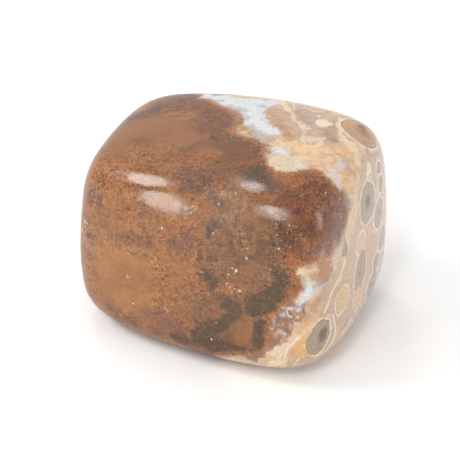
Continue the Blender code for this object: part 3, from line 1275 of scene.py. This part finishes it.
@dataclass
class JasperPattern:
    """The stone's solid pattern: which colour is where.

    aside is how far from a line on the stone its points on either side are placed, in mm. where is the
    stone's places, and ragged the same, stirred a little.
    """

    survey: Survey
    aside: float = 0.6
    recipe: Recipe = field(init=False)
    material: bpy.types.Material = field(init=False)
    where: Grain = field(init=False)
    ragged: Grain = field(init=False)

    def __post_init__(self) -> None:
        """Starts the material, and the places that its patterns read."""
        self.recipe, self.material = Recipe.of_material("polished_ocean_jasper")
        self.where = Grain.of_object(self.recipe)
        broadly = self.where.stirred(per_mm=0.5, by=0.16)
        self.ragged = broadly.stirred(per_mm=2.4, by=0.06, detail=3.0)

    def pairs(self, line: list[tuple[Vector, Vector]]) -> tuple[list[Vector], list[Vector]]:
        """Places a point on either side of each inner point of a line on the stone.

        Args:
            line: the line's places, each with the outward normal there.

        Returns:
            The points on the left of someone who walks it, and those on the right, in mm.
        """
        left: list[Vector] = []
        right: list[Vector] = []
        for (before, _), (here, normal), (after, _) in zip(line, line[1:], line[2:]):
            out = normal.cross((after - before).normalized()).normalized() * self.aside
            left.append(here - out)
            right.append(here + out)
        return left, right

    def traced(self, pixels: tuple[Pixel, ...]) -> list[tuple[Vector, Vector]]:
        """Returns the places and outward normals of the pixels that show the stone."""
        return [found for found in map(self.survey.seen, pixels) if found[0] is not None]

    def border(self) -> tuple[list[Vector], list[Vector]]:
        """Returns points on the brown side and on the pale side, all the way round the stone."""
        line = self.traced(BORDER) + [self.survey.around(angles) for angles in HIDDEN_BORDER]
        return self.pairs(line + line[:2])

    def orb_balls(self, orbs: Iterable[Spot]) -> list[Ball]:
        """Carries orbs to the stone.

        Args:
            orbs: each orb's pixel and the pixels from there to its top.

        Returns:
            Each orb's centre and radius in mm.
        """
        balls: list[Ball] = []
        for x, y, rise in orbs:
            places = [self.survey.seen((x, y + step))[0] for step in (-rise, 0, rise)]
            if places[1] is None:
                continue
            reach = [(place - places[1]).length for place in places[::2] if place is not None]
            if reach:
                balls.append((places[1], sum(reach) / len(reach)))
        return balls

    def stains(self, under: Socket, stains: tuple[Stain, ...], cloud: Field) -> Socket:
        """Lays stains over a colour.

        Args:
            under: the colour so far.
            stains: the stains, in order.
            cloud: the noise that makes their edges ragged.

        Returns:
            The new colour's socket.
        """
        for stain in stains:
            away = self.ragged.outside(self.survey.balls(stain.spots))
            for stroke in stain.strokes:
                away = self.ragged.ribbon(self.survey.chain(stroke), away)
            away = away + cloud.swing(NOISE_GAIN * stain.ragged)
            share = away.rise(stain.fade / 2, -stain.fade / 2) * stain.strength
            under = self.recipe.mix(share, under, stain.tint)
        return under

    def veins(self, under: Socket) -> Socket:
        """Draws the veins over a colour, and returns the new colour's socket."""
        curly = self.ragged.stirred(per_mm=0.9, by=0.12)
        for vein in VEINS:
            away = curly.ribbon(self.survey.chain(tuple((x, y, vein.half) for x, y in vein.path)))
            share = away.rise(0.6 * vein.half, -0.6 * vein.half) * vein.strength
            under = self.recipe.mix(share, under, vein.tint)
        return under

    def flecks(self, under: Socket, kind: Cloud, flecks: tuple[Fleck, ...], busy: Field) -> Socket:
        """Lays flecks over a colour.

        Args:
            under: the colour so far.
            kind: the noise that places them.
            flecks: the flecks, in order.
            busy: how strong the grain is, 1 in most places.

        Returns:
            The new colour's socket.
        """
        cloud = self.where.noise(kind)
        for fleck in flecks:
            under = self.recipe.mix(cloud.rise(*fleck.step) * busy * fleck.strength, under, fleck.tint)
        return under

    def body(self, rim: Field) -> Socket:
        """Colours the brown body.

        Args:
            rim: how far a place is from the border, in mm.

        Returns:
            The colour's socket.
        """
        where = self.where
        cloud = where.noise(Cloud.BODY_EDGES)
        colour = self.recipe.bands(where.noise(Cloud.BODY_ZONES), BODY_BANDS)
        colour = self.stains(colour, BODY_WASHES, cloud)
        calm = where.outside(self.survey.balls(CALM)).rise(0.9, -0.9)
        grainy = where.outside(self.survey.balls(GRAINY)).rise(0.8, -0.8)
        patchy = where.noise(Cloud.BODY_PATCHES).rise(0.38, 0.62)
        busy = (1 - calm * CALMING) * (patchy * PATCH_GRAIN + grainy * SPOT_GRAIN + EVEN_GRAIN)
        colour = self.flecks(colour, Cloud.MOTTLE, MOTTLE, busy)
        colour = self.recipe.mix(rim.line(0.25, 0.9) * 0.85, colour, Tint.RIM_ORANGE)
        return self.grain(self.stains(colour, BODY_STAINS, cloud), busy)

    def grain(self, under: Socket, busy: Field) -> Socket:
        """Lays the brown body's fine grain over its colour, with painted glints among its specks.

        Args:
            under: the colour so far.
            busy: how strong the grain is, 1 in most places.

        Returns:
            The new colour's socket.
        """
        where = self.where
        curls = where.noise(Cloud.CURLS) + where.noise(Cloud.FINE_CURLS)
        colour = self.recipe.shade(under, 1 + (curls - 2 * NOISE_MIDDLE) * (busy * CURL_SHADE))
        colour = self.flecks(colour, Cloud.DARK_GRAIN, GRAIN, busy)
        strokes = abs(where.noise(Cloud.STROKES) - NOISE_MIDDLE).rise(0.035, 0.0)
        patches = where.noise(Cloud.STROKE_PATCHES).rise(0.48, 0.62)
        colour = self.recipe.mix(strokes * patches * busy * 0.4, colour, Tint.YELLOW_OCHRE)
        # The rarer bright specks are painted glints of light, not a colour of the stone
        for specks in SPECKS:
            away, lot = where.grains(specks.per_mm)
            share = away.rise(*specks.size) * lot.rise(*specks.rarity) * busy * specks.strength
            colour = self.recipe.mix(share, colour, specks.tint)
        return colour

    def ground(self, rim: Field, to_orb: Field, cloud: Field) -> Socket:
        """Colours the pale end under its stains: the matrix, the banks along the border and the flow bands.

        Args:
            rim: how far a place is from the border, in mm.
            to_orb: how far it is from the nearest orb, in mm.
            cloud: the noise that makes the bands ragged.

        Returns:
            The colour's socket.
        """
        colour = self.recipe.bands(to_orb + self.where.noise(Cloud.ORB_BANDS).swing(1.2), MATRIX_BANDS)
        banks = self.recipe.bands(rim + self.where.noise(Cloud.BANKS).swing(3.2), BANK_BANDS)
        left, right = self.pairs(self.traced(FLOW))
        across = self.ragged.nearest(left) - self.ragged.nearest(right) + cloud.swing(0.5)
        flows = self.recipe.bands(across, FLOW_BANDS)
        inner = rim.rise(2.6, 1.6) * to_orb.rise(0.1, 0.6)
        colour = self.recipe.mix(inner, colour, banks)
        near = across.rise(-0.7, -0.45) * across.rise(0.7, 0.45) * to_orb.rise(0.0, 0.3)
        return self.recipe.mix(near * 0.85, colour, flows)

    def pale(self, rim: Field, scattered: list[Ball]) -> Socket:
        """Colours the pale end.

        Args:
            rim: how far a place is from the border, in mm.
            scattered: the orbs on the sides that the photograph doesn't show.

        Returns:
            The colour's socket.
        """
        where = self.where
        cloud = where.noise(Cloud.PALE_EDGES)
        families = {GREY_ORBS: scattered[::2], TAN_ORBS: scattered[1::4], HONEY_ORBS: scattered[3::4]}
        wave = cloud.swing(0.35)
        to_family = {
            family: self.ragged.outside(self.orb_balls(family.orbs) + more) + wave
            for family, more in families.items()
        }
        to_orb = to_family[GREY_ORBS].least(to_family[TAN_ORBS]).least(to_family[HONEY_ORBS])
        colour = self.stains(self.ground(rim, to_orb, cloud), PALE_STAINS, cloud)
        colour = self.veins(colour)
        ringed = where.outside(self.survey.balls(UNRINGED)).rise(-0.2, 0.3)
        broken = (where.noise(Cloud.BROKEN_RINGS).rise(0.38, 0.52) * 0.7 + 0.2) * ringed
        colour = self.recipe.mix(to_orb.line(0.13, 0.17) * broken, colour, Tint.RING)
        for family, more in families.items():
            colour = self.orbs(colour, family, more, to_family[family], cloud)
        spots = self.ragged.outside(self.survey.balls(WHITE_SPOTS)) + cloud.swing(0.4)
        colour = self.recipe.mix(spots.rise(0.12, -0.12), colour, Tint.WHITE)
        frost = where.noise(Cloud.FROST).rise(0.53, 0.66)
        colour = self.recipe.mix(frost * 0.22, colour, Tint.FROST)
        return self.recipe.shade(colour, 1.04 + where.noise(Cloud.PALE_GRAIN).swing(0.5))

    def orbs(
        self, under: Socket, family: Orbs, scattered: list[Ball], away: Field, cloud: Field
    ) -> Socket:
        """Lays a family of orbs over a colour.

        Args:
            under: the colour so far.
            family: the orbs.
            scattered: those that the photograph doesn't show.
            away: the distance to them in mm, below 0 inside.
            cloud: the noise that varies them.

        Returns:
            The new colour's socket.
        """
        ball = family.ball.bare
        pale = tuple(min(1.0, value * ORB_LIGHT) for value in ball)
        deep = tuple(value * ORB_DEEP for value in ball)
        inner = self.recipe.bands(away, (
            (-1.8, deep), (-1.2, ball), (-0.8, pale), (-0.5, ball), (-0.3, pale), (-0.1, ball), (0.0, deep),
        ))
        colour = self.recipe.mix(away.rise(0.05, -0.03), under, inner)
        hidden = [(centre, EYE_SHARE * radius) for centre, radius in scattered if radius > LARGE_ORB]
        eyes = self.ragged.outside(self.survey.balls(family.eyes) + hidden) + cloud.swing(0.6)
        return self.recipe.mix(eyes.rise(0.2, -0.2) * 0.9, colour, family.eye)

    def build(self) -> bpy.types.Material:
        """Makes the stone's material.

        Returns:
            The material.
        """
        brown, pale = self.border()
        in_brown = self.ragged.nearest(brown, self.ragged.outside([BROWN_CORE]))
        in_pale = self.ragged.nearest(pale, self.ragged.outside([PALE_CORE]))
        side = in_brown - in_pale + self.where.noise(Cloud.BORDER).swing(1.2)
        orbs = self.orb_balls(GREY_ORBS.orbs + TAN_ORBS.orbs + HONEY_ORBS.orbs)
        scattered = OrbScatter().place(self.survey, orbs, brown, pale)
        body = self.body(in_pale - self.aside)
        light = self.pale(in_brown - self.aside, scattered)
        share = side.rise(-0.55, 0.55)
        colour = self.recipe.mix(share, body, light)
        self.recipe.tree.links.new(colour, self.recipe.shader.inputs["Base Color"])
        Polish().dress(self.recipe, self.survey, self.where, share)
        return self.material


@dataclass
class TumbledStone:
    """The stone's own surface: a fine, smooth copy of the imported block, with swells, facets and pits.

    doubles is the distance in mm within which points are one. waves are the surface's slow waves, each a
    height in mm and how many in a mm. soft is how gently a facet runs out, in mm, and pit_reach how far
    round a pit its hollow reaches, in radii.
    """

    block: bpy.types.Object
    camera: Camera
    doubles: float = 0.002
    halvings: int = 2
    polish_rounds: int = 10
    polish_step: float = 0.5
    waves: tuple[tuple[float, float], ...] = ((0.035, 0.33), (0.012, 0.9))
    soft: float = 0.03
    pit_reach: float = 2.5
    pit_cuts: int = 3
    survey: Survey = field(init=False)

    def smoothed(self) -> bmesh.types.BMesh:
        """Returns a fine copy of the block in mm, its facets polished away."""
        bm = bmesh.new()
        bm.from_mesh(self.block.data)
        bmesh.ops.scale(bm, vec=(1 / MM, 1 / MM, 1 / MM), verts=bm.verts[:])
        bmesh.ops.remove_doubles(bm, verts=bm.verts[:], dist=self.doubles)
        for _ in range(self.halvings):
            bmesh.ops.subdivide_edges(bm, edges=bm.edges[:], cuts=1, use_grid_fill=True)
        axes = {"use_axis_x": True, "use_axis_y": True, "use_axis_z": True}
        for _ in range(self.polish_rounds):
            bmesh.ops.smooth_vert(bm, verts=bm.verts[:], factor=self.polish_step, **axes)
        bm.normal_update()
        return bm

    def swell(self, bm: bmesh.types.BMesh) -> None:
        """Raises the swells, and waves the surface a little.

        Args:
            bm: the stone's mesh in mm.
        """
        centres = [(self.survey.seen(swell.pixel)[0], swell.spread, swell.height) for swell in SWELLS]
        for vert in bm.verts:
            rise = sum(height * noise.noise(vert.co * per_mm) for height, per_mm in self.waves)
            for centre, spread, peak in centres:
                rise += peak * math.exp(-(((vert.co - centre).length / spread) ** 2))
            vert.co += vert.normal * rise
        bm.normal_update()

    def grind(self, bm: bmesh.types.BMesh) -> None:
        """Grinds the facets.

        Args:
            bm: the stone's mesh in mm.
        """
        for facet in FACETS:
            centre, normal = self.survey.seen(facet.pixel)
            for vert in bm.verts:
                away = vert.co - centre
                proud = away.dot(normal) + facet.depth + away.length_squared / (2 * facet.crown)
                share = math.exp(-((away.length / facet.reach) ** 4))
                vert.co -= normal * (share * (proud + math.hypot(proud, self.soft)) / 2)
        bm.normal_update()

    def pit(self, bm: bmesh.types.BMesh) -> None:
        """Sinks the pits, in a finer mesh round each.

        Args:
            bm: the stone's mesh in mm.
        """
        pits = [(self.survey.seen((x, y))[0], radius, depth) for x, y, radius, depth in PITS]
        near = self.hollows(bm, pits)
        edges = [edge for edge in bm.edges if all(vert in near for vert in edge.verts)]
        bmesh.ops.subdivide_edges(bm, edges=edges, cuts=self.pit_cuts, use_grid_fill=True)
        bmesh.ops.triangulate(bm, faces=[face for face in bm.faces if len(face.verts) > 4])
        bm.normal_update()
        for vert, sunk in self.hollows(bm, pits).items():
            vert.co -= vert.normal * sunk
        bm.normal_update()

    def hollows(
        self, bm: bmesh.types.BMesh, pits: list[tuple[Vector, float, float]]
    ) -> dict[bmesh.types.BMVert, float]:
        """Finds the points of the mesh round the pits.

        Args:
            bm: the stone's mesh in mm.
            pits: each pit's place, radius and depth in mm.

        Returns:
            How deep each point sinks, in mm.
        """
        verts = bm.verts[:]
        tree = kdtree.KDTree(len(verts))
        for index, vert in enumerate(verts):
            tree.insert(vert.co, index)
        tree.balance()
        sunk: dict[bmesh.types.BMVert, float] = {}
        for place, radius, depth in pits:
            for _, index, away in tree.find_range(place, radius * self.pit_reach):
                step = depth * math.exp(-((away / radius) ** 2))
                sunk[verts[index]] = max(sunk.get(verts[index], 0.0), step)
        return sunk

    def surface(self) -> bpy.types.Mesh:
        """Makes the fine mesh, where each step finds its places on what the step before it left.

        Returns:
            The mesh, in metres.
        """
        bm = self.smoothed()
        for step in (self.swell, self.grind, self.pit):
            self.survey = Survey(BVHTree.FromBMesh(bm), self.camera)
            step(bm)
        bmesh.ops.scale(bm, vec=(MM, MM, MM), verts=bm.verts[:])
        mesh = bpy.data.meshes.new("polished_stone")
        bm.to_mesh(mesh)
        bm.free()
        mesh.shade_smooth()
        return mesh

    def build(self) -> bpy.types.Object:
        """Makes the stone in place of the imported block.

        Returns:
            The stone's object.
        """
        stone = bpy.data.objects.new("polished_stone", self.surface())
        bpy.context.scene.collection.objects.link(stone)
        stone.data.materials.append(JasperPattern(self.survey).build())
        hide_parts("stone")
        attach(stone, "root")
        return stone


@dataclass(frozen=True)
class Softbox:
    """A soft light, as seen from the stone: where it stands and how large and bright it looks.

    The angles are in degrees. glow is the brightness of its face, where white surroundings are 1.
    """

    name: str
    azimuth: float
    elevation: float
    wide: float
    tall: float
    glow: float

    def build(self, reach: float) -> bpy.types.Object:
        """Makes the light.

        Args:
            reach: its distance from the stone in mm.

        Returns:
            The light's object.
        """
        out = direction(self.azimuth, self.elevation)
        data = bpy.data.lights.new(self.name, "AREA")
        data.shape = "RECTANGLE"
        data.size = 2 * reach * math.tan(math.radians(self.wide / 2)) * MM
        data.size_y = 2 * reach * math.tan(math.radians(self.tall / 2)) * MM
        data.energy = self.glow * math.pi * data.size * data.size_y
        light = bpy.data.objects.new(self.name, data)
        light.location = (HEART + out * reach) * MM
        light.rotation_mode = "QUATERNION"
        light.rotation_quaternion = out.to_track_quat("Z", "Y")
        light.visible_camera = False
        bpy.context.scene.collection.objects.link(light)
        return light


SOFTBOXES: tuple[Softbox, ...] = (
    Softbox("high_left_box", -72.0, 46.0, 17.0, 18.0, 9.0),
    Softbox("low_left_box", -35.0, 11.0, 18.0, 14.0, 8.0),
    Softbox("back_left_box", -138.0, 62.0, 12.0, 8.0, 9.0),
    Softbox("front_box", -3.0, 48.0, 10.0, 20.0, 11.0),
    Softbox("end_box", 100.0, 12.0, 10.0, 26.0, 4.0),
)


@dataclass(frozen=True)
class PaleBoard:
    """The floor's dull white finish."""

    shade: float = 0.93
    roughness: float = 0.9
    sheen: float = 0.1

    def build(self) -> bpy.types.Material:
        """Makes the floor's material.

        Returns:
            The material.
        """
        recipe, material = Recipe.of_material("pale_floor")
        inputs = recipe.shader.inputs
        inputs["Base Color"].default_value = (self.shade, self.shade, self.shade, 1.0)
        inputs["Roughness"].default_value = self.roughness
        inputs["Specular IOR Level"].default_value = self.sheen
        return material


@dataclass
class Studio:
    """A pale floor, soft white surroundings and the softboxes.

    floor_side is in metres, surroundings is how bright they are, and reach is how far the softboxes stand
    from the stone in mm.
    """

    floor_side: float = 1.6
    surroundings: float = 0.85
    reach: float = 400.0

    def build(self) -> bpy.types.Object:
        """Makes the floor, the world and the lights.

        Returns:
            The floor's object.
        """
        floor = self.floor()
        self.world()
        for box in SOFTBOXES:
            box.build(self.reach)
        return floor

    def floor(self) -> bpy.types.Object:
        """Makes the floor.

        Returns:
            The floor's object.
        """
        bm = bmesh.new()
        bmesh.ops.create_grid(bm, x_segments=1, y_segments=1, size=self.floor_side / 2)
        mesh = bpy.data.meshes.new("studio_floor")
        bm.to_mesh(mesh)
        bm.free()
        floor = bpy.data.objects.new("studio_floor", mesh)
        bpy.context.scene.collection.objects.link(floor)
        floor.data.materials.append(PaleBoard().build())
        return floor

    def world(self) -> None:
        """Surrounds the stone with soft white light."""
        world = bpy.data.worlds.new("soft_white")
        world.use_nodes = True
        backdrop = world.node_tree.nodes["Background"]
        backdrop.inputs["Color"].default_value = (1.0, 1.0, 1.0, 1.0)
        backdrop.inputs["Strength"].default_value = self.surroundings
        bpy.context.scene.world = world


def main() -> None:
    """Builds the camera, the stone and the studio, and reports each."""
    logging.basicConfig(level=logging.INFO, format="%(name)s: %(message)s")
    bpy.context.scene.view_settings.view_transform = "Standard"
    camera = Camera()
    log.info("%s has a lens of %.0f mm", camera.build().name, camera.lens)
    stone = TumbledStone(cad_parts["stone"], camera).build()
    nodes = stone.data.materials[0].node_tree.nodes
    log.info("%s has %d faces and %d shader nodes", stone.name, len(stone.data.polygons), len(nodes))
    floor = Studio().build()
    log.info("%s lies under %d softboxes", floor.name, len(SOFTBOXES))


if __name__ == "__main__":
    main()
